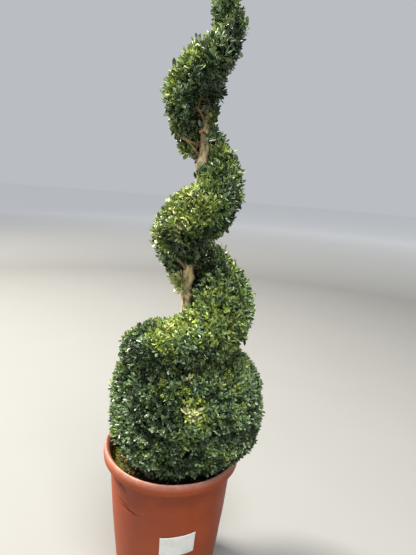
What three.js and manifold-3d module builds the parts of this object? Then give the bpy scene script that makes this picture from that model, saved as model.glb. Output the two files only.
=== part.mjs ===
// A spiral topiary: a box shrub clipped into a rising spiral round its own trunk, growing in a deep
// round pot. Millimetres, +Z up, with the origin in the middle of the pot's flat underside.
import * as THREE from "three";
import { mergeVertices } from "three/addons/utils/BufferGeometryUtils.js";
import Module from "manifold-3d";

const wasm = await Module();
wasm.setup();

// Driving dimensions. Heights in shrub, spiral and boughs count from the top of the pot's rim.
const gap = 0.3; // between pieces that touch
const pot = {
  height: 580,
  topRadius: 235, // of the wall, just under the rim
  taper: 45, // how much narrower the wall is at the foot
  bulge: 1.4, // over 1, the wall curves in faster towards the foot
  wall: 3.5,
  floor: 6,
  footRound: 16,
  wallSteps: 5,
  rim: { radius: 260, mouth: 250.6, depth: 44, tuck: 58, corner: 4, bow: 1.3, roll: 6 },
};
const soil = { below: 50, mound: 8, levelRadius: 62, clear: 0.5, steps: 5 };
const label = { from: -5.5, to: 28, top: 233, bottom: 321, thickness: 0.4 };
const trunk = {
  footRadius: 42, // at the soil, where the roots start to spread
  flareHeight: 85,
  stemRadius: 21, // just above the flare
  midHeight: 650,
  midRadius: 15.5,
  upperHeight: 1130,
  upperRadius: 13.5,
  tipHeight: 1548,
  tipRadius: 3,
  lean: 0.029, // sideways, in each millimetre of height
  sway: 5,
  rootLobes: 5,
  lobeDepth: 0.16,
};
const skirt = {
  centre: [46, 20, 155],
  radius: 296,
  upward: 257,
  downward: 250,
  squareness: 2.6, // over 2, the ball has flatter sides
  lumps: 8,
};
// The spiral's foliage at each quarter turn: its middle height, its reach from the trunk, and half
// its depth. Angles are counter-clockwise seen from above, with 0 on the right and 270 in front.
const spiral = {
  start: 90,
  step: 90,
  stations: [
    { height: 360, reach: 170, depth: 50 },
    { height: 390, reach: 224, depth: 116 },
    { height: 478, reach: 245, depth: 98 },
    { height: 567, reach: 252, depth: 191 },
    { height: 680, reach: 198, depth: 134 },
    { height: 820, reach: 148, depth: 118 },
    { height: 885, reach: 150, depth: 131 },
    { height: 986, reach: 159, depth: 158 },
    { height: 1130, reach: 144, depth: 115 },
    { height: 1264, reach: 154, depth: 142 },
    { height: 1362, reach: 130, depth: 110 },
    { height: 1480, reach: 112, depth: 104 },
    { height: 1550, reach: 80, depth: 60 },
  ],
  lumps: 6,
  heart: 9, // how near the foliage comes to the trunk's centre line before it is cut round it
};
// The foliage is divided where a turn passes from one side of the trunk to the next.
const pieces = [
  { name: "first_turn_left", from: 112, to: 225 },
  { name: "first_turn_front", from: 225, to: 315 },
  { name: "first_turn_right", from: 315, to: 405 },
  { name: "first_turn_back", from: 405, to: 495 },
  { name: "second_turn_left", from: 495, to: 585 },
  { name: "second_turn_front", from: 585, to: 675 },
  { name: "second_turn_right", from: 675, to: 765 },
  { name: "second_turn_back", from: 765, to: 855 },
  { name: "third_turn_left", from: 855, to: 945 },
  { name: "third_turn_front", from: 945, to: 1035 },
  { name: "third_turn_right", from: 1035, to: 1125 },
];
const tuft = { centre: [70, 0, 1548], radius: 50, halfHeight: 76, lumps: 5 };
// Boughs leave the trunk at a height and a bearing, and rise into the foliage above them.
const boughs = [
  { name: "bough_first_back", height: 540, bearing: 95, length: 150, rise: 38, radius: 8 },
  { name: "bough_second_left_low", height: 676, bearing: 200, length: 120, rise: 42, radius: 7.5 },
  { name: "bough_second_front", height: 700, bearing: 285, length: 120, rise: 44, radius: 7 },
  { name: "bough_second_right", height: 790, bearing: 350, length: 130, rise: 46, radius: 7.5 },
  { name: "bough_second_back", height: 945, bearing: 80, length: 130, rise: 44, radius: 7 },
  { name: "bough_third_left_low", height: 1058, bearing: 190, length: 125, rise: 45, radius: 7 },
  { name: "bough_third_left_high", height: 1160, bearing: 215, length: 90, rise: 58, radius: 6 },
  { name: "bough_third_front", height: 1185, bearing: 300, length: 135, rise: 60, radius: 5.5 },
];
const boughShape = { taper: 0.45, collar: 0.5, collarFade: 8, bow: 0.07 };
const facets = {
  round: 36,
  label: [10, 1, 3],
  trunk: [10, 24],
  bough: [7, 4],
  turn: 14,
  turnStep: 15, // degrees of the spiral between one cross-section and the next
  skirt: [28, 16],
  tuft: [12, 8],
};

const colours = {
  plastic: { color: 0xb4593a, roughness: 0.55, metalness: 0 },
  paper: { color: 0xe9e9e4, roughness: 0.6, metalness: 0 },
  compost: { color: 0x2e221a, roughness: 1, metalness: 0 },
  bark: { color: 0xa08a66, roughness: 0.9, metalness: 0 },
  leaves: { color: 0x3f6a2c, roughness: 0.6, metalness: 0 },
};

const rad = THREE.MathUtils.degToRad;
const rimLevel = pot.height;
const soilLevel = rimLevel - soil.below;

function wallRadius(z) {
  return pot.topRadius - pot.taper * Math.pow((pot.height - z) / pot.height, pot.bulge);
}

// Moves every corner of a three.js shape, and gives the closed solid that results.
function shaped(geometry, place) {
  const position = geometry.getAttribute("position");
  const corner = new THREE.Vector3();
  for (let i = 0; i < position.count; i++) {
    corner.fromBufferAttribute(position, i);
    position.setXYZ(i, ...place(corner).toArray());
  }
  return solid(geometry);
}

function solid(geometry) {
  const bare = geometry.clone();
  bare.deleteAttribute("normal");
  bare.deleteAttribute("uv");
  const merged = mergeVertices(bare, 1e-3);
  return new wasm.Manifold(
    new wasm.Mesh({
      numProp: 3,
      vertProperties: new Float32Array(merged.getAttribute("position").array),
      triVerts: new Uint32Array(merged.index.array),
    }),
  );
}

function geometryOf(made) {
  const mesh = made.getMesh();
  return new THREE.BufferGeometry()
    .setAttribute("position", new THREE.BufferAttribute(new Float32Array(mesh.vertProperties), 3))
    .setIndex(new THREE.BufferAttribute(new Uint32Array(mesh.triVerts), 1));
}

function turned(profile, segments) {
  return new THREE.LatheGeometry(profile, segments).rotateX(Math.PI / 2);
}

// Slow waves over the surface, so that no mass of leaves is perfectly even.
function lumps(p, height) {
  const wide = Math.sin(p.x / 37 + 1.3) * Math.sin(p.y / 33 + 0.7) * Math.sin(p.z / 41 + 2.1);
  const fine = Math.sin(p.x / 17 + 4.1) * Math.sin(p.y / 15 + 2.6) * Math.sin(p.z / 19 + 0.4);
  return height * (wide + 0.6 * fine);
}

// The pot's outline from the middle of its underside round to the middle of its floor.
function potProfile(grow) {
  const { rim, height } = pot;
  const under = height - rim.tuck;
  const ledge = height - rim.depth;
  const outer = (z) => wallRadius(z) + grow;
  const inner = (z) => wallRadius(z) - pot.wall - grow;
  const lip = rim.radius + grow;
  const crown = lip - rim.roll;
  const outline = new THREE.Path();
  outline.moveTo(0, 0);
  outline.lineTo(outer(0) - pot.footRound, 0);
  outline.quadraticCurveTo(outer(0), 0, outer(pot.footRound), pot.footRound);
  for (let i = 1; i <= pot.wallSteps; i++) {
    const z = pot.footRound + ((under - pot.footRound) * i) / pot.wallSteps;
    outline.lineTo(outer(z), z);
  }
  outline.quadraticCurveTo(outer(under), ledge, lip - rim.corner, ledge - grow);
  const bow = lip + rim.bow;
  outline.bezierCurveTo(bow, ledge + rim.roll, bow, height - rim.corner, crown, height + grow);
  outline.lineTo(rim.mouth - grow, height + grow);
  outline.quadraticCurveTo(inner(height), height - rim.depth / 2, inner(height), under);
  for (let i = 1; i < pot.wallSteps; i++) {
    const z = under + ((pot.floor - under) * i) / pot.wallSteps;
    outline.lineTo(inner(z), z);
  }
  outline.lineTo(inner(pot.floor), pot.floor);
  outline.lineTo(0, pot.floor);
  return outline.getPoints(4);
}

function makePot(grow) {
  return solid(turned(potProfile(grow), facets.round));
}

function makeSoil() {
  const bottom = pot.floor + gap;
  const edge = (z) => wallRadius(z) - pot.wall - soil.clear;
  const outline = [new THREE.Vector2(0, bottom)];
  for (let i = 0; i <= soil.steps; i++) {
    const z = bottom + ((soilLevel - soil.mound - bottom) * i) / soil.steps;
    outline.push(new THREE.Vector2(edge(z), z));
  }
  outline.push(new THREE.Vector2(soil.levelRadius, soilLevel));
  outline.push(new THREE.Vector2(0, soilLevel));
  return solid(turned(outline, facets.round));
}

// Everything inside the pot up to just above the soil.
function soilSpace() {
  const tall = 2 * soilLevel;
  const wide = pot.topRadius - pot.wall;
  const room = new THREE.CylinderGeometry(wide, wide, tall, facets.round);
  return solid(room.rotateX(Math.PI / 2).translate(0, 0, soilLevel + gap - tall / 2));
}

function makeLabel() {
  const wide = rad(label.to - label.from);
  return shaped(new THREE.BoxGeometry(1, 1, 1, ...facets.label), (p) => {
    const bearing = rad(270 + label.from) + wide * (p.x + 0.5);
    const z = rimLevel - label.bottom + (label.bottom - label.top) * (p.z + 0.5);
    const r = wallRadius(z) + gap + label.thickness * (0.5 - p.y);
    return new THREE.Vector3(r * Math.cos(bearing), r * Math.sin(bearing), z);
  });
}

// The trunk's centre at a height above the rim. It leans a little and sways as it goes.
function trunkCentre(h) {
  return new THREE.Vector3(
    trunk.lean * Math.max(h, 0) + trunk.sway * Math.sin(h / 150) * Math.min(1, Math.max(h, 0) / 400),
    trunk.sway * Math.sin(h / 190 + 1),
    rimLevel + h,
  );
}

function trunkRadius(h) {
  const { midHeight, midRadius, upperHeight, upperRadius, tipHeight, tipRadius } = trunk;
  const mix = THREE.MathUtils.mapLinear;
  if (h > upperHeight) return mix(h, upperHeight, tipHeight, upperRadius, tipRadius);
  if (h > midHeight) return mix(h, midHeight, upperHeight, midRadius, upperRadius);
  const stem = mix(h, -soil.below, midHeight, trunk.stemRadius, midRadius);
  const flare = Math.max(0, 1 - (h + soil.below) / trunk.flareHeight);
  return stem + (trunk.footRadius - trunk.stemRadius) * flare * flare;
}

function makeTrunk(grow) {
  const foot = -soil.below + gap - 2 * grow;
  const tall = trunk.tipHeight - foot + 2 * grow;
  return shaped(new THREE.CylinderGeometry(1, 1, 1, ...facets.trunk), (p) => {
    const crowding = 1.25; // over 1, the rings lie closer together towards the foot
    const h = foot + tall * Math.pow(p.y + 0.5, crowding);
    const turn = Math.atan2(p.x, p.z);
    const flare = Math.max(0, 1 - (h + soil.below) / trunk.flareHeight);
    const lobes = 1 + trunk.lobeDepth * flare * Math.sin(trunk.rootLobes * turn);
    const across = Math.hypot(p.x, p.z) * (trunkRadius(h) * lobes + grow);
    const c = trunkCentre(h);
    return new THREE.Vector3(c.x + across * Math.sin(turn), c.y - across * Math.cos(turn), c.z);
  });
}

// Height, reach and half depth of the spiral's foliage at an angle.
const spiralLine = new THREE.CatmullRomCurve3(
  spiral.stations.map((s) => new THREE.Vector3(s.height, s.reach, s.depth)),
  false,
  "catmullrom",
  0.5,
);
function spiralAt(angle) {
  const last = spiral.stations.length - 1;
  return spiralLine.getPoint((angle - spiral.start) / (spiral.step * last));
}

// The foliage's cross-section: x goes from the trunk out to the reach, y over half the depth. The
// underside rises towards the trunk, so the outer edge hangs like a skirt.
const section = new THREE.CatmullRomCurve3(
  [
    [1, 0.02], [0.93, 0.36], [0.8, 0.62], [0.6, 0.88], [0.4, 1], [0.14, 0.82], [0, 0.4],
    [0, -0.3], [0.18, -0.7], [0.4, -0.96], [0.6, -0.9], [0.8, -0.66], [0.93, -0.4],
  ].map(([x, y]) => new THREE.Vector3(x, y, 0)),
  true,
  "catmullrom",
  0.5,
);
const sectionMiddle = new THREE.Vector3(0.5, 0, 0);

function makeTurn({ from, to }, grow) {
  const steps = Math.round((to - from) / facets.turnStep);
  return shaped(new THREE.CylinderGeometry(1, 1, 1, facets.turn, steps), (p) => {
    const t = p.y + 0.5;
    const angle = from + (to - from) * t;
    const a = spiralAt(angle);
    const round = Math.atan2(p.x, p.z) / (2 * Math.PI);
    const onEdge = Math.hypot(p.x, p.z) > 0.5;
    const at = onEdge ? section.getPoint((1 - round) % 1) : sectionMiddle;
    const outward = new THREE.Vector3(Math.cos(rad(angle)), Math.sin(rad(angle)), 0);
    const out = THREE.MathUtils.lerp(spiral.heart, a.y, at.x);
    const place = trunkCentre(a.x).addScaledVector(outward, out);
    place.z += at.y * a.z;
    if (onEdge) {
      const away = outward.clone().multiplyScalar(at.x - sectionMiddle.x);
      away.z = at.y * 0.5;
      away.normalize();
      const share = Math.min(1, at.x * 2); // no lumps against the trunk
      place.addScaledVector(away, share * lumps(place, spiral.lumps) + grow);
    }
    return place;
  });
}

// A thin upright sheet from the trunk outwards, which parts two pieces of the spiral.
function parting(angle) {
  const wide = 2 * skirt.radius;
  const middle = trunkCentre(spiralAt(angle).x);
  const sheet = new THREE.BoxGeometry(wide, gap, wide).translate(wide / 2, 0, 0);
  return solid(sheet.rotateZ(rad(angle)).translate(middle.x, middle.y, middle.z));
}

function makeSkirt(grow) {
  const [x, y, z] = skirt.centre;
  const n = skirt.squareness;
  return shaped(new THREE.SphereGeometry(1, ...facets.skirt), (p) => {
    const out = Math.hypot(p.x, p.z);
    const size = Math.pow(Math.pow(out, n) + Math.pow(Math.abs(p.y), n), -1 / n);
    const tall = p.y > 0 ? skirt.upward : skirt.downward;
    const place = new THREE.Vector3(p.x * size, -p.z * size, p.y * size);
    const away = place.clone().normalize();
    place.multiply(new THREE.Vector3(skirt.radius, skirt.radius, tall));
    place.add(new THREE.Vector3(x, y, rimLevel + z));
    return place.addScaledVector(away, lumps(place, skirt.lumps) + grow);
  });
}

function makeTuft(grow) {
  const [x, y, z] = tuft.centre;
  return shaped(new THREE.SphereGeometry(1, ...facets.tuft), (p) => {
    const away = new THREE.Vector3(p.x, -p.z, p.y);
    const place = away.clone().multiply(new THREE.Vector3(tuft.radius, tuft.radius, tuft.halfHeight));
    place.add(new THREE.Vector3(x, y, rimLevel + z));
    return place.addScaledVector(away, lumps(place, tuft.lumps) + grow);
  });
}

function makeBough(b) {
  const direction = new THREE.Vector3(
    Math.cos(rad(b.rise)) * Math.cos(rad(b.bearing)),
    Math.cos(rad(b.rise)) * Math.sin(rad(b.bearing)),
    Math.sin(rad(b.rise)),
  );
  const side = new THREE.Vector3(-Math.sin(rad(b.bearing)), Math.cos(rad(b.bearing)), 0);
  const over = new THREE.Vector3().crossVectors(side, direction).normalize();
  const root = trunkCentre(b.height);
  return shaped(new THREE.CylinderGeometry(1, 1, 1, ...facets.bough), (p) => {
    const t = p.y + 0.5;
    const collar = 1 + boughShape.collar * Math.exp(-boughShape.collarFade * t);
    const r = b.radius * (1 - boughShape.taper * t) * collar;
    const bow = boughShape.bow * b.length * Math.sin(Math.PI * t);
    return root
      .clone()
      .addScaledVector(direction, b.length * t)
      .addScaledVector(side, r * p.x + bow)
      .addScaledVector(over, r * p.z - bow);
  });
}

function largestBody(made) {
  return made.decompose().reduce((most, body) => (body.volume() > most.volume() ? body : most));
}

// Pieces, each cut clear of the ones that it grows round or out of.
const group = new THREE.Group();
group.name = "spiral_topiary";
function add(name, made, look) {
  const mesh = new THREE.Mesh(geometryOf(made), new THREE.MeshStandardMaterial(colours[look]));
  mesh.name = name;
  group.add(mesh);
}

const trunkSpace = makeTrunk(gap);
const turns = pieces.map((piece) => {
  return makeTurn(piece, 0).subtract(parting(piece.from)).subtract(parting(piece.to));
});
const turnSpaces = pieces.map((piece) => makeTurn(piece, gap));
const tuftSpace = makeTuft(gap);
const skirtSpace = makeSkirt(gap);

add("pot", makePot(0), "plastic");
add("label", makeLabel(), "paper");
add("soil", makeSoil(), "compost");
add("trunk", makeTrunk(0), "bark");
for (const b of boughs) {
  const free = turnSpaces.reduce((rest, space) => rest.subtract(space), makeBough(b));
  add(b.name, largestBody(free.subtract(trunkSpace)), "bark");
}
const inPot = makeSkirt(0).subtract(soilSpace()).subtract(makePot(gap));
add("skirt", largestBody(inPot.subtract(trunkSpace)), "leaves");
pieces.forEach((piece, i) => {
  const free = turns[i].subtract(skirtSpace).subtract(tuftSpace);
  add(piece.name, free.subtract(trunkSpace), "leaves");
});
add("top_tuft", makeTuft(0).subtract(trunkSpace), "leaves");

export default group;
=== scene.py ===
from math import atan2, cos, dist, exp, hypot, pi, radians, remainder, sin, tau

import bmesh
import bpy
import numpy as np
from mathutils import Matrix, Vector, noise
from mathutils.bvhtree import BVHTree
from mathutils.kdtree import KDTree
from numpy.linalg import norm


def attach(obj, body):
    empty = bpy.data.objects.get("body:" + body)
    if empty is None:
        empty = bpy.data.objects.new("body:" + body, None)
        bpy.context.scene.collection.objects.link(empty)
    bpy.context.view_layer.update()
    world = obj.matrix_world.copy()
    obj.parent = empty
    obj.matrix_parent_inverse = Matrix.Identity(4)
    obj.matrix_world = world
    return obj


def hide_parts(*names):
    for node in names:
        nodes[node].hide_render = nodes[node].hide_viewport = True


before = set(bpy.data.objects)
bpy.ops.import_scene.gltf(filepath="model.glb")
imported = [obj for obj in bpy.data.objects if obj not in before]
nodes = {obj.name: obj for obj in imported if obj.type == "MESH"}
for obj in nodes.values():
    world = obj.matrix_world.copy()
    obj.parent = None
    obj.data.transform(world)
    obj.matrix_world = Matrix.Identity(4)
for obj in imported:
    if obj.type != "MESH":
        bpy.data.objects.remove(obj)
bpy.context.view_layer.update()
foliageNodes = sorted(n for n in nodes if n in ("skirt", "top_tuft") or "_turn_" in n)
boughNodes = sorted(n for n in nodes if n.startswith("bough_"))
rimLevel = 0.58  # top of the pot's rim
soilLevel = 0.53
mergeDistance = 1e-5
rng = np.random.default_rng(41)
bpy.context.scene.view_settings.view_transform = "Standard"


def unit(v):
    return v / np.maximum(norm(v, axis=-1, keepdims=True), 1e-9)


def level(turn):
    return Vector((cos(turn), sin(turn), 0))


def heading(bearing):
    # level direction at a bearing in degrees, 0 right and 270 front
    return level(radians(bearing))


def addObject(name, mesh):
    piece = bpy.data.objects.new(name, mesh)
    bpy.context.scene.collection.objects.link(piece)
    return piece


def finishBmesh(name, bm):
    mesh = bpy.data.meshes.new(name)
    bm.to_mesh(mesh)
    bm.free()
    mesh.shade_smooth()
    return addObject(name, mesh)


def copies(faces, count, size):
    # the faces of many copies of a mesh, size being its number of points
    return (faces + size * np.arange(count)[:, None, None]).reshape(-1, 3)


def meshFromArrays(name, points, triangles):
    mesh = bpy.data.meshes.new(name)
    mesh.from_pydata(points.tolist(), [], triangles.tolist(), shade_flat=False)
    return addObject(name, mesh)


def settle(piece, material, slot, *replaced):
    piece.data.materials.append(material)
    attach(piece, "root")
    if replaced:
        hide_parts(*replaced)


cameraLook = {"place": (0.0, -1.469, 1.56), "down": 12.1, "right": 3.36, "roll": 4.72, "lens": 27.05}


def makeCamera(look):
    data = bpy.data.cameras.new("camera")
    data.lens = look["lens"]
    data.sensor_width = 36
    camera = addObject("camera", data)
    stand = Matrix.Translation(look["place"])
    for angle, axis in ((-look["right"], "Z"), (90 - look["down"], "X"), (look["roll"], "Z")):
        stand @= Matrix.Rotation(radians(angle), 4, axis)
    camera.matrix_world = stand
    bpy.context.scene.camera = camera


makeCamera(cameraLook)
print("camera placed")


def newMaterial(name):
    material = bpy.data.materials.new(name)
    material.use_nodes = True
    return material, material.node_tree


def feed(tree, socket, value):
    # links a node's output to the socket, or sets the socket's value
    if isinstance(value, bpy.types.NodeSocket):
        tree.links.new(value, socket)
    else:
        socket.default_value = (*value, 1) if socket.type == "RGBA" else value


def addNode(tree, kind, values, **settings):
    node = tree.nodes.new("ShaderNode" + kind)
    for key, value in settings.items():
        setattr(node, key, value)
    for key, value in values.items():
        feed(tree, node.inputs[key], value)
    return node


def setShader(tree, values):
    for key, value in values.items():
        feed(tree, tree.nodes["Principled BSDF"].inputs[key], value)


def ramp(tree, source, *stops):
    # each stop is a place and its colour or grey
    node = addNode(tree, "ValToRGB", {"Fac": source})
    elements = node.color_ramp.elements
    for i, (at, colour) in enumerate(stops):
        element = elements[i] if i < 2 else elements.new(at)
        element.position = at
        element.color = (*colour, 1) if isinstance(colour, tuple) else (colour, colour, colour, 1)
    return node.outputs["Color"]


def mixColour(tree, factor, a, b, blend="MIX"):
    node = addNode(tree, "Mix", {"Factor": factor, "A": a, "B": b}, data_type="RGBA", blend_type=blend)
    return node.outputs["Result"]


def objectCoords(tree):
    return addNode(tree, "TexCoord", {}).outputs["Object"]


def noiseAt(tree, scale, detail, roughness, stretch=(1, 1, 1)):
    coords = addNode(tree, "Mapping", {"Vector": objectCoords(tree), "Scale": stretch}).outputs["Vector"]
    return addNode(tree, "TexNoise", {"Vector": coords, "Scale": scale, "Detail": detail,
                                      "Roughness": roughness}).outputs["Fac"]


def heightMask(tree, low, high, most):
    # 0 up to one height, the most from another
    place = addNode(tree, "SeparateXYZ", {"Vector": objectCoords(tree)})
    return addNode(tree, "MapRange", {"Value": place.outputs["Z"], "From Min": low, "From Max": high,
                                      "To Min": 0, "To Max": most}).outputs["Result"]


def bump(tree, height, strength, distance):
    return addNode(tree, "Bump", {"Height": height, "Strength": strength, "Distance": distance}).outputs["Normal"]


def scaled(colour, by):
    return tuple(min(1, by * c) for c in colour)


def makeSpeckleGroup():
    # patches and fine specks that several finishes share
    tree = bpy.data.node_groups.new("speckle", "ShaderNodeTree")
    for way, names in (("INPUT", ("Patch Scale", "Speck Scale")), ("OUTPUT", ("Patches", "Specks"))):
        for name in names:
            tree.interface.new_socket(name, in_out=way, socket_type="NodeSocketFloat")
    start, end = tree.nodes.new("NodeGroupInput"), tree.nodes.new("NodeGroupOutput")
    for scale, mask, detail, roughness in (("Patch Scale", "Patches", 5, 0.6), ("Speck Scale", "Specks", 2, 0.5)):
        node = addNode(tree, "TexNoise", {"Vector": objectCoords(tree), "Scale": start.outputs[scale],
                                          "Detail": detail, "Roughness": roughness})
        tree.links.new(node.outputs["Fac"], end.inputs[mask])
    return tree


speckleGroup = makeSpeckleGroup()


def speckle(tree, patchScale, speckScale):
    node = addNode(tree, "Group", {"Patch Scale": patchScale, "Speck Scale": speckScale}, node_tree=speckleGroup)
    return node.outputs["Patches"], node.outputs["Specks"]


# each tint's upper and under colour, the roughness of its face and its coat of wax. The tints are partly painted
# light and shade: deep is painted shade, the young-growth and pale tints are young leaves with painted sunlight on
# them, and cool and mid are the greens between
leafTints = {
    "deep": ((0.025, 0.046, 0.019), (0.048, 0.078, 0.036), 0.33, 0.1),
    "cool": ((0.15, 0.236, 0.105), (0.195, 0.27, 0.14), 0.3, 0.26),
    "mid": ((0.132, 0.198, 0.046), (0.2, 0.255, 0.085), 0.3, 0.15),
    "fresh": ((0.225, 0.29, 0.05), (0.3, 0.35, 0.085), 0.37, 0.08),
    "pale": ((0.54, 0.56, 0.24), (0.48, 0.5, 0.23), 0.42, 0.06),
    "dry": ((0.44, 0.195, 0.032), (0.4, 0.18, 0.045), 0.6, 0),
}


def leafMaterial(name, top, under, gloss, wax):
    material, tree = newMaterial(f"leaf {name}")
    patches, specks = speckle(tree, 38, 260)
    face = ramp(tree, patches, (0.36, scaled(top, 0.72)), (0.62, scaled(top, 1.25)))
    back = addNode(tree, "NewGeometry", {}).outputs["Backfacing"]
    setShader(tree, {"Base Color": mixColour(tree, back, face, under),
                     "Roughness": ramp(tree, specks, (0.3, gloss - 0.06), (0.7, gloss + 0.12)),
                     "Specular IOR Level": 0.55, "Coat Weight": wax, "Coat Roughness": 0.28})
    return material


def barkMaterial(name, pale, dark, moss, scale, shadeHighUp=None):
    # the last colour is painted shade: the darker bark high up, where the upper turns shadow the trunk
    material, tree = newMaterial(name)
    patches, specks = speckle(tree, scale, 420)
    streaks = noiseAt(tree, 130, 6, 0.65, (1, 1, 0.22))
    base = ramp(tree, streaks, (0.36, dark), (0.47, pale), (0.66, scaled(pale, 1.35)))
    if shadeHighUp:
        shadedUpperBark = ramp(tree, streaks, (0.36, scaled(dark, 0.8)), (0.5, shadeHighUp), (0.68, scaled(shadeHighUp, 1.35)))
        rust = ramp(tree, noiseAt(tree, 95, 4, 0.6), (0.5, 0), (0.6, 0.75))
        shadedUpperBark = mixColour(tree, rust, shadedUpperBark, scaled(dark, 0.9))
        # painted shade: the bark turns darker from 1.3 m up, under the upper turns
        base = mixColour(tree, heightMask(tree, 1.3, 1.75, 0.8), base, shadedUpperBark)
    mossy = mixColour(tree, ramp(tree, patches, (0.52, 0), (0.64, 0.9)), base, moss)
    crumbs = ramp(tree, specks, (0.28, 0.6), (0.48, 1))
    knots = ramp(tree, noiseAt(tree, 55, 3, 0.5, (1, 1, 0.6)), (0.34, 0.34), (0.46, 1))
    dirty = mixColour(tree, 0.8, mossy, crumbs, "MULTIPLY")
    setShader(tree, {"Base Color": mixColour(tree, 0.85, dirty, knots, "MULTIPLY"), "Roughness": 0.85,
                     "Specular IOR Level": 0.25, "Normal": bump(tree, streaks, 0.7, 0.002)})
    return material


def speckledMaterial(name, scales, dark, pale, grit, share, rough, relief):
    # patches of two colours under a share of grit
    material, tree = newMaterial(name)
    patches, specks = speckle(tree, *scales)
    colour = ramp(tree, patches, (0.35, dark), (0.65, pale))
    setShader(tree, {"Base Color": mixColour(tree, share, colour, ramp(tree, specks, *grit), "MULTIPLY"),
                     "Roughness": rough, "Normal": bump(tree, patches, *relief)})
    return material


# the fold colour is painted shade in the pot's creases
potFinish = {
    "clay": ((0.236, 0.036, 0.006), (0.29, 0.05, 0.01), (0.332, 0.07, 0.018)),
    "rubbed": (0.46, 0.17, 0.09), "dustAndSheen": (0.42, 0.25, 0.2), "rough": (0.48, 0.66), "fold": (0.36, 0.25, 0.2),
    "dustSheenFrom": 0.556,
}


def potMaterial():
    material, tree = newMaterial("terracotta plastic")
    patches, specks = speckle(tree, 7, 650)
    clay = ramp(tree, patches, *zip((0.3, 0.55, 0.78), potFinish["clay"]))
    # pale rubbed streaks run round the wall, and dust lies on the rim, with a painted highlight along the rim's top
    rubbed = ramp(tree, noiseAt(tree, 26, 5, 0.6, (1, 1, 3.2)), (0.6, 0), (0.84, 0.45))
    scuffed = mixColour(tree, rubbed, clay, potFinish["rubbed"])
    # dust and a painted highlight on the rim's top
    onRim = heightMask(tree, potFinish["dustSheenFrom"], rimLevel, 1.2)
    dustAndSheen = addNode(tree, "Math", {0: onRim, 1: noiseAt(tree, 60, 6, 0.7)}, operation="MULTIPLY")
    rim = mixColour(tree, dustAndSheen.outputs["Value"], scuffed, potFinish["dustAndSheen"])
    worn = mixColour(tree, 0.6, rim, ramp(tree, specks, (0.28, 0.72), (0.42, 1)), "MULTIPLY")
    # painted shade in the folds of the wall, darker where the wall sinks deeper
    fold = addNode(tree, "Attribute", {}, attribute_name="fold")
    foldShade = ramp(tree, fold.outputs["Fac"], (0.25, 1), (0.9, potFinish["fold"]))
    setShader(tree, {"Base Color": mixColour(tree, 1, worn, foldShade, "MULTIPLY"), "Specular IOR Level": 0.35,
                     "Roughness": ramp(tree, patches, *zip((0.3, 0.75), potFinish["rough"])),
                     "Normal": bump(tree, specks, 0.12, 0.0006)})
    return material


def compostMaterial(name, dark, brown, pale):
    material, tree = newMaterial(name)
    patches, specks = speckle(tree, 26, 300)
    earth = ramp(tree, specks, (0.3, dark), (0.55, brown), (0.78, pale))
    mossy = mixColour(tree, ramp(tree, patches, (0.55, 0), (0.7, 1)), earth, (0.1, 0.11, 0.02))
    setShader(tree, {"Base Color": mossy, "Roughness": 0.95,
                     "Normal": bump(tree, noiseAt(tree, 220, 6, 0.7), 1, 0.004)})
    return material


leafMaterials = {name: leafMaterial(name, *tint) for name, tint in leafTints.items()}
mossLeaf = leafMaterial("moss", (0.19, 0.2, 0.022), (0.22, 0.23, 0.05), 0.7, 0)
trunkBark = barkMaterial("trunk bark", (0.59, 0.45, 0.24), (0.165, 0.1, 0.046), (0.25, 0.23, 0.11), 30,
                         (0.225, 0.185, 0.12))
boughBark = barkMaterial("bough bark", (0.24, 0.165, 0.09), (0.085, 0.052, 0.028), (0.15, 0.14, 0.06), 45)
twigBark = barkMaterial("twig bark", (0.28, 0.18, 0.09), (0.1, 0.06, 0.03), (0.15, 0.14, 0.05), 60)
shootBark = barkMaterial("green shoot", (0.17, 0.19, 0.05), (0.09, 0.105, 0.03), (0.22, 0.18, 0.06), 80)
prunedWood = speckledMaterial("pruned wood", (160, 700), (0.34, 0.11, 0.03), (0.66, 0.27, 0.08),
                              ((0.3, 0.5), (0.5, 1)), 0.8, 0.75, (0.5, 0.001))
plastic = potMaterial()
paper = speckledMaterial("sticker paper", (24, 900), (0.61, 0.61, 0.58), (0.73, 0.73, 0.71),
                         ((0.26, 0.85), (0.4, 1)), 0.6, 0.42, (0.15, 0.0008))
compost = compostMaterial("compost", (0.006, 0.004, 0.003), (0.03, 0.019, 0.012), (0.085, 0.058, 0.036))
crumb = compostMaterial("bark crumbs", (0.018, 0.01, 0.006), (0.07, 0.042, 0.024), (0.17, 0.12, 0.07))
print("materials made")


potShape = {
    "height": 0.58, "topRadius": 0.235, "taper": 0.045, "bulge": 1.4, "wall": 0.0035, "floor": 0.006,
    "footRound": 0.016, "rimRadius": 0.26, "mouth": 0.2506, "rimDepth": 0.044, "tuck": 0.058,
    "segments": 192, "wallSteps": 150,
}


def wallRadius(z):
    s = potShape
    return s["topRadius"] - s["taper"] * ((s["height"] - z) / s["height"]) ** s["bulge"]


def bezier(a, b, c, d, count):
    t = np.linspace(0, 1, count + 1)[1:, None]
    a, b, c, d = (np.array(p, float) for p in (a, b, c, d))
    return list((1 - t) ** 3 * a + 3 * (1 - t) ** 2 * t * b + 3 * (1 - t) * t * t * c + t ** 3 * d)


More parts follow.
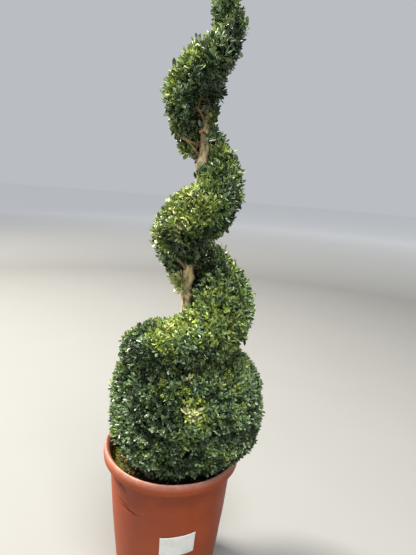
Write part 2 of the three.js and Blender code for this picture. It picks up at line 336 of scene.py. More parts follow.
def potOutline():
    s = potShape
    top, ledge, under = s["height"], s["height"] - s["rimDepth"], s["height"] - s["tuck"]
    foot, lip = s["footRound"], s["rimRadius"]
    line = [(0, 0), (0.1, 0), (wallRadius(0) - foot, 0)]
    line += bezier(line[-1], (wallRadius(0) - 0.004, 0), (wallRadius(0), 0.004), (wallRadius(foot), foot), 5)
    line += [(wallRadius(z), z) for z in np.linspace(foot, under, s["wallSteps"])[1:]]
    side, mouth, inner = wallRadius(under), s["mouth"], wallRadius(top) - s["wall"]
    # the bends of the rim, from the outside in: two handles, the end, how many steps
    for *bend, steps in (
            ((side, ledge - 0.002), (side + 0.002, ledge + 0.001), (side + 0.007, ledge + 0.001), 6),
            ((lip - 0.004, ledge + 0.0005), (lip - 0.0015, ledge), (lip - 0.0008, ledge + 0.003), 5),
            ((lip + 0.0012, ledge + 0.012), (lip + 0.001, top - 0.004), (lip - 0.006, top), 12),
            ((lip - 0.0075, top + 0.0006), (mouth + 0.001, top), (mouth, top - 0.001), 3),
            ((inner + 0.006, top - 0.012), (inner, top - 0.022), (inner, under), 8)):
        line += bezier(line[-1], *bend, steps)
    line += [(wallRadius(z) - s["wall"], z) for z in np.linspace(under, s["floor"], 24)[1:]]
    line += [(0.1, s["floor"]), (0, s["floor"])]
    return line


# buckles in the wall: bearing and height of each end, width, depth
potCreases = [
    ((208, 0.53), (219, 0.504), 0.0042, 0.0048),
    ((218, 0.504), (230, 0.482), 0.0042, 0.0042),
    ((208, 0.498), (222, 0.476), 0.008, -0.0026),
    ((216, 0.436), (234, 0.424), 0.0038, 0.0038),
    ((219, 0.417), (243, 0.407), 0.0042, 0.0046),
    ((217, 0.45), (236, 0.44), 0.008, -0.0026),
    ((24, 0.31), (47, 0.29), 0.01, 0.0026),
    ((112, 0.19), (131, 0.165), 0.009, 0.0024),
]


def creaseAt(bearing, z, radius):
    depth = 0
    for start, end, wide, deep in potCreases:
        along = radius * radians(end[0] - start[0])
        rise = end[1] - start[1]
        x = radius * remainder(bearing - radians(start[0]), tau)
        y = z - start[1]
        long = hypot(along, rise)
        t = (x * along + y * rise) / long ** 2
        away = abs(x * rise - y * along) / long
        fade = exp(-max(0, abs(t - 0.5) - 0.25) ** 2 / 0.045)
        depth += deep * fade * exp(-(away / wide) ** 2)
    return depth


def turned(outline, segments):
    # an outline of radii and heights, spun round the upright axis
    bm = bmesh.new()
    line = [bm.verts.new((r, 0, z)) for r, z in outline]
    edges = [bm.edges.new(pair) for pair in zip(line, line[1:])]
    bmesh.ops.spin(bm, geom=line + edges, cent=(0, 0, 0), axis=(0, 0, 1), angle=tau,
                   steps=segments, use_merge=True, use_normal_flip=False)
    bmesh.ops.remove_doubles(bm, verts=bm.verts, dist=mergeDistance)
    return bm


def makePot():
    bm = turned(potOutline(), potShape["segments"])
    fold = bm.verts.layers.float.new("fold")
    for v in bm.verts:
        x, y, z = v.co
        radius = hypot(x, y)
        if radius < 0.12 or z < 0.012:
            continue
        bearing = atan2(y, x)
        fade = min(1, (z - 0.012) / 0.1)
        wave = 0.0013 * sin(2 * bearing + 0.8 + 1.5 * z) + 0.0007 * sin(5 * bearing + 9 * z)
        wave += 0.0008 * noise.noise(v.co * 14)
        below = min(1, max(0, (0.533 - z) / 0.02))  # the wall under the rim
        wave += 0.0003 * below * sin(z * 150 + 1.5 * sin(bearing)) * noise.noise(v.co * 4)
        sunk = below * creaseAt(bearing, z, radius)
        # how deep the crease sinks here, which the pot's finish turns into painted shade
        v[fold] = min(1, max(0, sunk / 0.004))
        new = radius + fade * wave - sunk
        v.co.x *= new / radius
        v.co.y *= new / radius
    bmesh.ops.recalc_face_normals(bm, faces=bm.faces)
    settle(finishBmesh("plastic_pot", bm), plastic, "pot", "pot")


labelShape = {"from": 264.5, "to": 298, "bottom": 0.259, "top": 0.347, "tilt": 0.01, "thick": 0.0004,
              "curl": 0.05}


def makeLabel():
    s = labelShape
    bm = bmesh.new()
    middle, wide = (s["from"] + s["to"]) / 2, radians(s["to"] - s["from"])
    for v in bmesh.ops.create_grid(bm, x_segments=36, y_segments=22, size=0.5)["verts"]:
        x, y, _ = v.co
        z = (s["top"] + s["bottom"]) / 2 + y * (s["top"] - s["bottom"]) + s["tilt"] * x
        bearing = radians(middle) + wide * x
        lift = 0.0006 + s["curl"] * max(0, 2 * abs(x) - 0.93) * max(0, 2 * y - 0.8)
        lift += 0.00025 * noise.noise(Vector((x * 9, y * 7, 3)))
        r = wallRadius(z) + 0.0013 + lift
        v.co = (r * cos(bearing), r * sin(bearing), z)
    bmesh.ops.recalc_face_normals(bm, faces=bm.faces)
    if sum(f.normal.dot(heading(middle)) for f in bm.faces) < 0:
        bmesh.ops.reverse_faces(bm, faces=bm.faces)
    bmesh.ops.solidify(bm, geom=bm.faces, thickness=s["thick"])
    settle(finishBmesh("bare_label", bm), paper, "label", "label")


makePot()
makeLabel()
print("pot and label made")


compostShape = {"radius": 0.227, "rings": 52, "segments": 160, "under": 0.034, "crumbs": 900, "litter": 150}


def compostHeight(x, y):
    r = hypot(x, y)
    rough = 0.006 * noise.noise(Vector((x * 22, y * 22, 0))) + 0.0035 * noise.noise(Vector((x * 80, y * 80, 5)))
    return soilLevel - 0.006 + 0.008 * max(0, 1 - r / 0.22) + rough - 0.3 * max(0, r - 0.205)


def makeCompost():
    s = compostShape
    top = [(r, 0) for r in np.linspace(0, s["radius"], s["rings"])]
    bm = turned(top + [(s["radius"] - 0.006, -s["under"]), (0, -s["under"])], s["segments"])
    for v in bm.verts:
        v.co.z += compostHeight(v.co.x, v.co.y) if v.co.z > -0.001 else soilLevel
    bmesh.ops.recalc_face_normals(bm, faces=bm.faces)
    settle(finishBmesh("compost_top", bm), compost, "soil", "soil")


def onCompost(r, turn):
    x, y = r * np.cos(turn), r * np.sin(turn)
    return np.stack([x, y, [compostHeight(a, b) for a, b in zip(x, y)]], -1)


def scatterRing(count, inner, outer):
    # points on the compost, as many near the wall as near the middle
    return onCompost(rng.uniform(inner, outer, count), rng.uniform(0, tau, count))


def makeCrumbs():
    bm = bmesh.new()
    bmesh.ops.create_icosphere(bm, subdivisions=1, radius=1)
    ball = np.array([v.co for v in bm.verts])
    faces = np.array([[v.index for v in f.verts] for f in bm.faces])
    bm.free()
    places = scatterRing(compostShape["crumbs"], 0.05, 0.2225)
    count = len(places)
    size = rng.uniform(0.0016, 0.0042, (count, 1, 1)) * rng.uniform(0.5, 1.3, (count, 1, 3))
    lumps = rng.uniform(0.8, 1.2, (count, len(ball), 1))
    points = places[:, None] + ball[None] * lumps * size
    settle(meshFromArrays("compost_crumbs", points.reshape(-1, 3), copies(faces, count, len(ball))), crumb, "soil")


makeCompost()
makeCrumbs()
print("compost made")


trunkShape = {
    "foot": -0.05, "tip": 1.548, "footRadius": 0.042, "flareHeight": 0.085,
    "stem": [(-0.05, 0.021), (0.65, 0.0155), (1.23, 0.015), (1.548, 0.0015)],  # heights over the rim, radii
    "lean": 0.029, "sway": 0.005, "sides": 36, "rings": 520, "relief": 0.0013,
}
# swellings where limbs leave or once left: height over the rim, bearing, size
collars = [(0.676, 200, 0.006), (0.662, 350, 0.0085), (0.7, 285, 0.004), (0.79, 350, 0.006),
           (0.905, 80, 0.005), (1.058, 190, 0.0055), (1.16, 215, 0.005), (1.185, 300, 0.004),
           (1.1, 20, 0.0045), (0.54, 95, 0.006), (1.03, 275, 0.003), (0.59, 300, 0.003)]
# main boughs: height over the rim, bearing, length, rise in degrees, radius
limbs = {
    "bough_first_back": (0.54, 95, 0.15, 38, 0.0068),
    "bough_second_left_low": (0.676, 200, 0.12, 42, 0.0058),
    "bough_second_front": (0.7, 285, 0.12, 44, 0.0058),
    "bough_second_right": (0.79, 350, 0.13, 46, 0.0062),
    "bough_second_back": (0.945, 80, 0.13, 44, 0.0058),
    "bough_third_left_low": (1.058, 190, 0.125, 45, 0.0034),
    "bough_third_left_high": (1.16, 215, 0.09, 58, 0.0042),
    "bough_third_front": (1.185, 300, 0.135, 60, 0.0036),
}


def trunkCentre(h):
    s = trunkShape
    up = max(h, 0)
    return Vector((s["lean"] * up + s["sway"] * sin(h / 0.15) * min(1, up / 0.4),
                   s["sway"] * sin(h / 0.19 + 1), rimLevel + h))


def flareAt(h):
    return max(0, 1 - (h - trunkShape["foot"]) / trunkShape["flareHeight"])


def trunkRadius(h):
    stem = trunkShape["stem"]
    step = sum(h > height for height, _ in stem[1:-1])
    (low, wide), (high, slim) = stem[step:step + 2]
    return wide + (slim - wide) * (h - low) / (high - low) + (trunkShape["footRadius"] - wide) * flareAt(h) ** 2


def barkRelief(around, along, radius):
    ridge = noise.fractal(Vector((around.x * 2.2, around.y * 2.2, along * 26)), 1, 2, 4)
    plate = noise.noise(Vector((around.x * 5.5, around.y * 5.5, along * 60)))
    return trunkShape["relief"] * (1.3 * ridge + 0.9 * plate) * min(1, radius / 0.012)


def makeTrunk():
    s = trunkShape
    bm = bmesh.new()
    for v in bmesh.ops.create_grid(bm, x_segments=s["sides"], y_segments=s["rings"], size=0.5)["verts"]:
        turn = tau * (v.co.x + 0.5)
        h = s["foot"] + (s["tip"] - s["foot"]) * (v.co.y + 0.5)
        radius = trunkRadius(h) * (1 + 0.16 * flareAt(h) * sin(5 * turn))
        around = level(turn)
        grow = barkRelief(around, h, radius)
        for height, bearing, size in collars:
            facing = around.dot(heading(bearing))
            if facing > 0:
                grow += size * facing ** 3 * exp(-((h - height) / 0.016) ** 2)
        v.co = trunkCentre(h) + around * (radius + grow)
    closeTube(bm)
    settle(finishBmesh("trunk_bark", bm), trunkBark, "bark", "trunk")


def closeTube(bm):
    bmesh.ops.remove_doubles(bm, verts=bm.verts, dist=mergeDistance)
    bmesh.ops.holes_fill(bm, edges=[e for e in bm.edges if e.is_boundary], sides=0)
    bmesh.ops.recalc_face_normals(bm, faces=bm.faces)


def limbAxes(bearing, rise):
    ahead = heading(bearing) * cos(radians(rise)) + Vector((0, 0, sin(radians(rise))))
    side = heading(bearing + 90)
    return ahead, side, side.cross(ahead)


def limbPoint(limb, t):
    height, bearing, length, rise, _ = limb
    ahead, side, over = limbAxes(bearing, rise)
    bow = 0.07 * length * sin(pi * t)
    return trunkCentre(height) + ahead * length * t + side * bow - over * bow


def makeBoughs():
    bm = bmesh.new()
    for limb in limbs.values():
        height, bearing, length, rise, radius = limb
        _, side, over = limbAxes(bearing, rise)
        for v in bmesh.ops.create_grid(bm, x_segments=16, y_segments=44, size=0.5)["verts"]:
            turn, t = tau * (v.co.x + 0.5), v.co.y + 0.5
            around = side * cos(turn) + over * sin(turn)
            thick = radius * (1 - 0.45 * t) * (1 + 0.5 * exp(-8 * t))
            thick *= 1 + 0.1 * sin(19 * t + bearing) + 0.05 * sin(47 * t)
            grow = barkRelief(level(turn), height + length * t, thick)
            v.co = limbPoint(limb, t) + around * (thick + grow)
    closeTube(bm)
    settle(finishBmesh("main_boughs", bm), boughBark, "bark", *boughNodes)


# pruned stubs: height over the rim, bearing, radius, how far they stand out
prunings = [(1.157, 222, 0.0062, 0.01), (0.812, 250, 0.004, 0.004), (0.56, 60, 0.0045, 0.005),
            (0.602, 60, 0.005, 0.003), (1.105, 60, 0.006, 0.004), (0.64, 120, 0.0055, 0.004)]


def makePrunings():
    bark, wood = bmesh.new(), bmesh.new()
    for height, bearing, radius, out in prunings:
        ahead = (heading(bearing) + Vector((0, 0, 0.25))).normalized()
        turn = ahead.to_track_quat("Z", "Y").to_matrix().to_4x4()
        foot = trunkCentre(height) + heading(bearing) * (trunkRadius(height) - 0.002)
        bmesh.ops.create_cone(bark, cap_ends=True, segments=18, radius1=radius * 1.35, radius2=radius * 1.06,
                              depth=out + 0.004, matrix=Matrix.Translation(foot + ahead * out / 2) @ turn)
        face = Matrix.Translation(foot + ahead * (out + 0.0022)) @ turn
        made = bmesh.ops.create_circle(wood, cap_ends=True, segments=18, radius=radius, matrix=face)
        cap = list({f for v in made["verts"] for f in v.link_faces})
        bmesh.ops.inset_region(wood, faces=cap, thickness=radius * 0.35, depth=0.0006)
        lifted = bmesh.ops.extrude_face_region(wood, geom=cap)
        tops = [g for g in lifted["geom"] if isinstance(g, bmesh.types.BMVert)]
        bmesh.ops.translate(wood, verts=tops, vec=ahead * 0.0006)
    for bm in (bark, wood):
        for v in bm.verts:
            v.co += Vector((0.0006, 0.0006, 0.0006)) * noise.noise(v.co * 300)
    settle(finishBmesh("pruned_collars", bark), trunkBark, "bark")
    settle(finishBmesh("pruned_faces", wood), prunedWood, "bark")


makeTrunk()
makeBoughs()
makePrunings()
print("trunk and boughs made")


masses = {}
for name in foliageNodes:
    mesh = nodes[name].data
    mesh.calc_loop_triangles()
    points = np.array([v.co for v in mesh.vertices])
    triangles = np.array([t.vertices for t in mesh.loop_triangles])
    masses[name] = {
        "points": points, "triangles": triangles, "low": points.min(0), "high": points.max(0),
        "tree": BVHTree.FromPolygons(points.tolist(), triangles.tolist()),
    }


probe = Vector((0.31, 0.17, 0.93)).normalized()


def depthIn(mass, p):
    # how deep a point is in a mass, or minus its distance outside. A ray out of it meets a back face
    distance = mass["tree"].find_nearest(p)[3]
    hit, normal, _, _ = mass["tree"].ray_cast(p, probe)
    return distance if hit is not None and normal.dot(probe) > 0 else -distance


def deepest(p, own=None, reach=0.03):
    # the depth in the mass that holds a point best, apart from its own. Under -reach counts as far away
    best = -reach
    for name, mass in masses.items():
        if name == own or np.any(p < mass["low"] - reach) or np.any(p > mass["high"] + reach):
            continue
        best = max(best, depthIn(mass, p))
    return best


def depths(points):
    return np.array([deepest(p) for p in points])


def trunkDistance(p):
    c = trunkCentre(p[2] - rimLevel)
    return hypot(p[0] - c.x, p[1] - c.y)


# a row for each part of the plant, in metres. Reach is how far the sprays stand out of the clipped surface
habitKeys = ("spacing", "leaf", "wide", "sunny", "long", "reach", "lump", "loose", "shoots", "holes", "core")
habitRows = [
    ("skirt", 0.014, 0.022, 0.5, 0.5, (0.034, 0.05), -0.012, 0.007, 0.34, 0.03, 0.0, 0.023),
    ("first", 0.0146, 0.0234, 0.48, 0.3, (0.036, 0.054), -0.012, 0.008, 0.36, 0.06, 0.1, 0.025),
    ("second", 0.0152, 0.0262, 0.45, 0.44, (0.038, 0.058), -0.014, 0.009, 0.38, 0.1, 0.4, 0.028),
    ("third", 0.0158, 0.0272, 0.42, 0.55, (0.04, 0.06), -0.016, 0.01, 0.4, 0.12, 0.7, 0.03),
    ("top", 0.0155, 0.0272, 0.41, 0.45, (0.038, 0.056), -0.015, 0.009, 0.36, 0.14, 0.5, 0.03),
]
foliageHabit = {name: dict(zip(habitKeys, row)) for name, *row in habitRows}
# places that stay open: centre and radius
pockets = [
    (-0.03, 0.105, 1.178, 0.035), (-0.022, 0.08, 1.585, 0.06), (0.022, 0.115, 1.598, 0.045),
    (-0.03, 0.15, 1.59, 0.06), (-0.014, -0.012, 1.672, 0.036), (-0.004, 0.02, 1.65, 0.04),
    (0.034, -0.056, 1.78, 0.034), (0.036, -0.06, 1.815, 0.033), (0.042, -0.062, 1.845, 0.028),
]
# where sprays stand out further, or less far: centre, radius, by how much
swells = [
    (-0.215, 0, 0.915, 0.085, 0.025), (0.205, 0, 0.985, 0.05, 0.012), (0.27, -0.12, 0.67, 0.08, -0.01),
    (0.183, 0, 2.03, 0.07, -0.026), (-0.105, -0.14, 0.935, 0.075, 0.02), (0.04, -0.165, 0.955, 0.08, 0.024),
    (-0.035, -0.17, 0.95, 0.06, 0.016), (0.12, -0.16, 0.985, 0.06, 0.014), (0.161, 0.05, 1.698, 0.05, -0.012),
    (-0.145, 0.02, 1.385, 0.045, -0.012), (-0.09, 0, 1.69, 0.035, -0.012),
]
# loose sprays outside the masses: centre, radius, number, whose habit
tufts = [(0.07, -0.036, 1.872, 0.024, 14, "third"), (0.068, -0.018, 1.828, 0.022, 12, "third"),
         (0.062, -0.004, 1.778, 0.018, 9, "third"), (0.018, -0.062, 1.346, 0.03, 18, "second"),
         (-0.062, -0.03, 1.686, 0.01, 4, "third"), (-0.044, -0.01, 1.242, 0.019, 12, "second"),
         (0.066, -0.004, 2.066, 0.015, 7, "top"), (0.064, -0.004, 2.112, 0.016, 7, "top"),
         (0.016, 0.026, 1.866, 0.028, 18, "third"), (0.04, -0.028, 1.626, 0.018, 10, "second")]


def keptOpen(p):
    # open places, and the ring just over the rim, where nothing hangs outside the pot
    if p[2] < rimLevel + 0.022 and hypot(p[0], p[1]) > 0.232:
        return True
    return any(dist(p, centre) < radius for *centre, radius in pockets)


def sampleSkin(mass, spacing):
    # evenly spread points on a mass's surface, and their normals
    corners = mass["points"][mass["triangles"]]
    cross = np.cross(corners[:, 1] - corners[:, 0], corners[:, 2] - corners[:, 0])
    area = norm(cross, axis=1) / 2
    count = int(area.sum() / spacing ** 2 * 3.2)
    pick = rng.choice(len(area), count, p=area / area.sum())
    a, b = rng.random(count), rng.random(count)
    flip = a + b > 1
    a[flip], b[flip] = 1 - a[flip], 1 - b[flip]
    c = corners[pick]
    points = c[:, 0] + a[:, None] * (c[:, 1] - c[:, 0]) + b[:, None] * (c[:, 2] - c[:, 0])
    kept = thinned(points, spacing)
    return points[kept], unit(cross)[pick][kept]


def treeOf(points):
    tree = KDTree(len(points))
    for i, p in enumerate(points):
        tree.insert(p, i)
    tree.balance()
    return tree


def thinned(points, spacing):
    # which points are left when none may be nearer another than the spacing
    tree = treeOf(points)
    taken = np.zeros(len(points), bool)
    kept = []
    for i, p in enumerate(points):
        if not taken[i]:
            kept.append(i)
            for _, j, _ in tree.find_range(p, spacing):
                taken[j] = True
    return np.array(kept)


# how far outer sprays look out of the surface, keep off the trunk and the soil, and go into another mass,
# and how deep inner ones lie and what they keep off
skinLimits = {"out": 0.012, "offTrunk": 0.006, "overSoil": 0.012, "overlap": 0.006,
              "under": (0.026, 0.048), "least": 0.01, "innerOffTrunk": 0.035, "innerOverSoil": 0.02}


def outerSkin(name, mass, habit):
    s = skinLimits
    points, normals = sampleSkin(mass, habit["spacing"])
    kept = [i for i, (p, q) in enumerate(zip(points, points + s["out"] * normals))
            if trunkDistance(p) >= trunkRadius(p[2] - rimLevel) + s["offTrunk"] and not keptOpen(q)
            and q[2] >= soilLevel + s["overSoil"] and deepest(q, name) <= s["overlap"]]
    return points[kept], normals[kept]


def coreSkin(mass, habit):
    # points well inside the surface, for the shaded leaves behind the outer ones
    s = skinLimits
    points, normals = sampleSkin(mass, habit["core"])
    points = points - normals * rng.uniform(*s["under"], len(points))[:, None]
    kept = [i for i, p in enumerate(points)
            if depthIn(mass, p) > s["least"] and trunkDistance(p) > s["innerOffTrunk"]
            and p[2] > soilLevel + s["innerOverSoil"] and not keptOpen(p)]
    return points[kept], normals[kept]


def tuftSkin():
    points, names = [], []
    for *centre, radius, count, name in tufts:
        away = unit(rng.normal(size=(count, 3))) * rng.random((count, 1)) ** 0.5
        points.append(centre + radius * away)
        names += [name] * count
    points = np.concatenate(points)
    stems = np.array([trunkCentre(p[2] - 0.03 - rimLevel) for p in points])
    return points, unit(points - stems + 0.012 * rng.normal(size=points.shape)), names


skins = {"outer": [], "core": []}
for name, mass in masses.items():
    part = name.split("_")[0]
    habit = foliageHabit[part]
    for kind, (p, n) in (("outer", outerSkin(name, mass, habit)), ("core", coreSkin(mass, habit))):
        skins[kind].append((p, n, [part] * len(p)))
looseSkin = tuftSkin()
skin, facing, owner = (np.concatenate(column) for column in zip(*skins["outer"], looseSkin))
coreSkins = [np.concatenate(column) for column in zip(*skins["core"])]
print("sprays:", len(skin), "inner sprays:", len(coreSkins[0]))

upAxis = np.array([0, 0, 1.0])
sunSide = unit(np.array([-0.5, 0.45, 0.74]))


def picked(table, chosen):
    return {k: column[chosen] for k, column in table.items()}


def lumpAt(points):
    # low and high places of the clipped surface, from about -1 to 1
    return np.array([noise.noise(Vector(p * 15)) + 0.6 * noise.noise(Vector(p * 36)) for p in points])


def each(owner, key):
    return np.array([foliageHabit[name][key] for name in owner])


# out and up are how a spray heads, scatter and mostOut how its tip strays from the surface, and shootOut how
# much further young shoots stand out. A base less deep than bareDepth turns the spray, and one less deep than
# leastBase, or a tip less deep than leastTip, leaves it out
sprayShape = {"out": 0.85, "up": 0.4, "scatter": 0.004, "mostOut": 0.011, "shootsFrom": 0.06,
              "shootOut": (0.001, 0.005), "bend": 0.12, "bareDepth": 0.003, "offTrunk": 0.04, "stub": 0.78,
              "leastBase": -0.005, "leastTip": -0.003}


def footed(points, normals, ahead, long):
    # a spray whose foot would lie in the open grows straight out of the surface instead, and is shorter
    s = sprayShape
    bare = depths(points - ahead * long[:, None]) < s["bareDepth"]
    bare &= np.array([trunkDistance(p) > s["offTrunk"] for p in points])
    ahead[bare] = unit(normals[bare] * 0.9 + upAxis * 0.1 + 0.1 * rng.normal(size=(bare.sum(), 3)))
    long[bare] *= s["stub"]


def makeSprays(points, normals, owner):
    s, h = sprayShape, {key: each(owner, key) for key in habitKeys}
    count = len(points)
    lump = lumpAt(points)
    low, high = h["long"].T
    long = low + (high - low) * rng.random(count)
    ahead = unit(normals * s["out"] + upAxis * s["up"] + h["loose"][:, None] * rng.normal(size=(count, 3)))
    out = h["reach"] + h["lump"] * lump + s["scatter"] * rng.normal(size=count)
    out = np.minimum(out, h["reach"] + s["mostOut"])
    for *centre, radius, amount in swells:
        out += amount * np.exp(-(norm(points - centre, axis=1) / radius) ** 2)
    bold = (rng.random(count) < h["shoots"]) & (points[:, 2] > rimLevel + s["shootsFrom"]) & (normals[:, 2] > 0)
    out[bold] += rng.uniform(*s["shootOut"], bold.sum())
    tip = points + normals * out[:, None]
    footed(tip, normals, ahead, long)
    bend = s["bend"] * rng.normal(size=(count, 3))
    t = np.linspace(0, 1, 4)[None, :, None]
    base = tip - ahead * long[:, None]
    path = base[:, None] + (tip - base)[:, None] * t + (bend * long[:, None])[:, None] * t * (1 - t)
    return {"path": path, "ahead": ahead, "long": long, "normal": normals, "bold": bold, "base": base,
            "tip": tip, "owner": owner, "lump": lump, "leaf": h["leaf"], "wide": h["wide"]}


sprays = makeSprays(skin, facing, owner)
filled = (sprays["lump"] > -0.42) | (rng.random(len(owner)) > each(owner, "holes"))
# no clipped spray starts in the open, and on the upper turns none stands out of the outline
loose = np.arange(len(owner)) >= len(owner) - len(looseSkin[0])
rooted, held = depths(sprays["base"]) > sprayShape["leastBase"], depths(sprays["tip"]) > sprayShape["leastTip"]
filled &= (loose & (owner != "top")) | (rooted & (held | loose | np.isin(owner, ("skirt", "first"))))
sprays = picked(sprays, filled)
leafHabit = {"pairs": 6, "innerPairs": 4, "faceOut": 0.46, "faceUp": 0.42, "faceAny": 0.6, "dead": 0.0003}


def squared(face, ahead):
    # the part of a direction that is square to another
    return unit(face - (face * ahead).sum(1, keepdims=True) * ahead)


def leavesOn(sprays, pairs):
    # opposite pairs, each a quarter turn from the last, twisted so that the blades face the light
    s = leafHabit
    count = len(sprays["long"])
    e1 = unit(np.cross(sprays["ahead"], unit(rng.normal(size=(count, 3)))))
    e2 = np.cross(sprays["ahead"], e1)
    parts = []
    for k in range(pairs):
        at = 0.16 + 0.84 * k / (pairs - 1)
        step = min(2, int(at * 3))
        f = at * 3 - step
        node = sprays["path"][:, step] * (1 - f) + sprays["path"][:, step + 1] * f
        turn = k * pi / 2 + rng.normal(0, 0.25, count)
        side = e1 * np.cos(turn)[:, None] + e2 * np.sin(turn)[:, None]
        spread = radians(74 - 44 * at)
        size = sprays["leaf"] * (1 - 0.38 * max(0, at - 0.6) / 0.4)
        for sign in (1, -1):
            angle = spread + rng.normal(0, 0.18, count)
            d = sprays["ahead"] * np.cos(angle)[:, None] + sign * side * np.sin(angle)[:, None]
            d = unit(d + 0.18 * rng.normal(size=(count, 3)))
            want = s["faceOut"] * sprays["normal"] + s["faceUp"] * upAxis + s["faceAny"] * rng.normal(size=(count, 3))
            parts.append((node, d, squared(want, d), size * rng.uniform(0.8, 1.16, count)))
    joined = {k: np.concatenate(v) for k, v in zip(("root", "ahead", "face", "long"), zip(*parts))}
    joined["spray"] = np.tile(np.arange(count), 2 * pairs)
    joined["wide"] = sprays["wide"][joined["spray"]]
    return joined


# a blade: points along the midrib and across, as shares of the leaf's length and width
bladeEdge = np.array([[0.12, 0.25], [0.35, 0.46], [0.64, 0.48], [0.88, 0.27]])
bladePoints = np.concatenate([[[0, 0], [0.5, 0], [1, 0]], bladeEdge * [1, -1], bladeEdge])
bladeFaces = np.array([[0, 3, 1], [3, 4, 1], [4, 5, 1], [5, 6, 1], [6, 2, 1],
                       [0, 1, 7], [7, 1, 8], [8, 1, 9], [9, 1, 10], [10, 1, 2]])
plainPoints = np.array([[0, 0], [0.32, -0.45], [0.72, -0.42], [1, 0], [0.72, 0.42], [0.32, 0.45]])
plainFaces = np.array([[0, 1, 5], [1, 2, 4], [1, 4, 5], [2, 3, 4]])


def leafMesh(leaves, points=bladePoints, faces=bladeFaces):
    count = len(leaves["long"])
    long, wide = leaves["long"][:, None, None], leaves["wide"][:, None, None]
    side = np.cross(leaves["face"], leaves["ahead"])[:, None]
    along, across = points[None, :, :1], points[None, :, 1:]
    curl = rng.uniform(-0.06, 0.18, count)[:, None, None]
    fold = rng.uniform(0.04, 0.34, count)[:, None, None]
    lift = -curl * along ** 2 - fold * np.abs(across)
    placed = (leaves["root"][:, None] + leaves["ahead"][:, None] * along * long
              + side * across * long * wide + leaves["face"][:, None] * lift * long)
    return placed.reshape(-1, 3), copies(faces, count, len(points))


def clearOfPot(points):
    # false for a point in the pot's wall or rim, or in the compost
    r = np.hypot(points[:, 0], points[:, 1])
    z = points[:, 2]
    wall = wallRadius(np.clip(z, 0, rimLevel))
    inside = wall - 0.006 + 0.016 * np.clip((z - 0.545) / 0.035, 0, 1)
    outside = np.where(z > 0.53, potShape["rimRadius"] + 0.002, wall + 0.002)
    inWall = (z < rimLevel + 0.002) & (r > inside) & (r < outside)
    inSoil = (z < soilLevel + 0.002) & (r < wall)
    return ~(inWall | inSoil)


def leavesClear(leaves):
    return clearOfPot(leaves["root"]) & clearOfPot(leaves["root"] + leaves["ahead"] * leaves["long"][:, None])


# where sprays are painted lighter, as sunlight, or darker, as shade, than the light alone would make them, and the
# pale patch on the skirt's front: centre, radius, shift of the score
tintPlaces = [
    (0.072, -0.258, 0.85, 0.038, 1.75), (0.036, -0.25, 0.872, 0.038, 1), (0.179, -0.245, 0.69, 0.05, 0.6),
    (-0.088, -0.178, 1.083, 0.045, 0.7), (0.147, -0.246, 0.661, 0.06, 0.55), (-0.18, -0.12, 0.88, 0.1, -0.7),
    (-0.04, -0.19, 0.92, 0.08, -0.55), (0.072, -0.158, 1.172, 0.08, 0.5), (-0.145, -0.17, 1.05, 0.085, -0.95),
    (-0.029, -0.153, 1.119, 0.06, 0.45), (-0.01, -0.14, 1.5, 0.09, 0.85), (0.005, -0.13, 1.471, 0.06, 0.45),
    (0.033, -0.12, 1.52, 0.05, 0.15), (0.05, -0.11, 1.37, 0.07, -0.5), (-0.104, -0.025, 1.83, 0.06, 0.6),
    (-0.095, -0.02, 1.91, 0.05, 0.45), (0.105, -0.03, 1.665, 0.07, -0.25), (0.11, -0.055, 2.02, 0.07, -0.6),
    (-0.125, -0.03, 1.4, 0.06, 0.6), (0.2, -0.1, 1.2, 0.08, 0.1), (-0.106, -0.229, 0.711, 0.12, -0.2),
    (0.09, -0.03, 1.285, 0.065, -1), (0.06, 0.02, 1.23, 0.06, -0.8), (0.045, -0.06, 1.84, 0.06, -1.2),
    (-0.062, -0.03, 1.686, 0.02, 0.8), (-0.034, -0.008, 1.235, 0.034, 1.7), (0.016, 0.026, 1.866, 0.04, -0.6),
    (-0.09, -0.17, 0.975, 0.06, 0.3), (0.02, -0.185, 0.99, 0.07, 0.35), (0.115, -0.18, 1.015, 0.06, 0.35),
]
# where single dead leaves hang
dryPlaces = [(0.045, -0.155, 1.462), (0.072, -0.148, 1.412), (-0.008, -0.105, 1.362), (0.105, -0.08, 1.345)]


# scores under which a spray is cool or deep green, deep being painted shade, and over which it is a young-growth
# green or pale, pale being painted sunlight
tintLimits = {"cool": 0.02, "coolEnds": 0.12, "deep": -0.38, "deepSkirt": -0.34, "fresh": 0.58, "pale": 1.24}
# shares of single leaves that differ from their spray: from, to, its tint and theirs
strayLeaves = [(0, 0.05, "mid", "fresh"), (0, 0.1, "fresh", "mid"), (0.82, 1, "cool", "deep"),
               (0, 0.12, "cool", "mid")]


def tintScore(sprays):
    # painted light and shade: sprays that face the sun's side score higher and so get lighter tints
    light = (sprays["normal"] * sunSide).sum(1)
    patch = np.array([noise.noise(Vector(p * 9)) for p in sprays["tip"]])
    score = each(sprays["owner"], "sunny") * light + 0.45 * patch + 0.3 * sprays["lump"]
    score += 0.36 * rng.normal(size=len(light))
    for *centre, radius, shift in tintPlaces:
        away = norm(sprays["tip"] - centre, axis=1) / radius
        score += shift * np.exp(-away ** 2)
    return score, light


def pickTints(sprays):
    # each spray's colour, from where it grows and how it faces the light: painted light and shade, lighter on the
    # sun's side and darker away from it
    count = len(sprays["long"])
    score, light = tintScore(sprays)
    skirt = sprays["owner"] == "skirt"
    ends = np.isin(sprays["owner"], ("skirt", "third", "top"))
    s = tintLimits
    tint = np.full(count, "mid", dtype="<U8")
    tint[score < np.where(ends, s["coolEnds"], s["cool"])] = "cool"
    tint[score < np.where(skirt, s["deepSkirt"], s["deep"])] = "deep"
    tint[score > s["fresh"]] = "fresh"
    tint[score > s["pale"]] = "pale"
    tint[skirt & (tint == "mid") & (rng.random(count) < 0.45)] = "cool"
    tint[sprays["bold"] & (rng.random(count) < 0.6) & (light > -0.2)] = "fresh"
    return tint


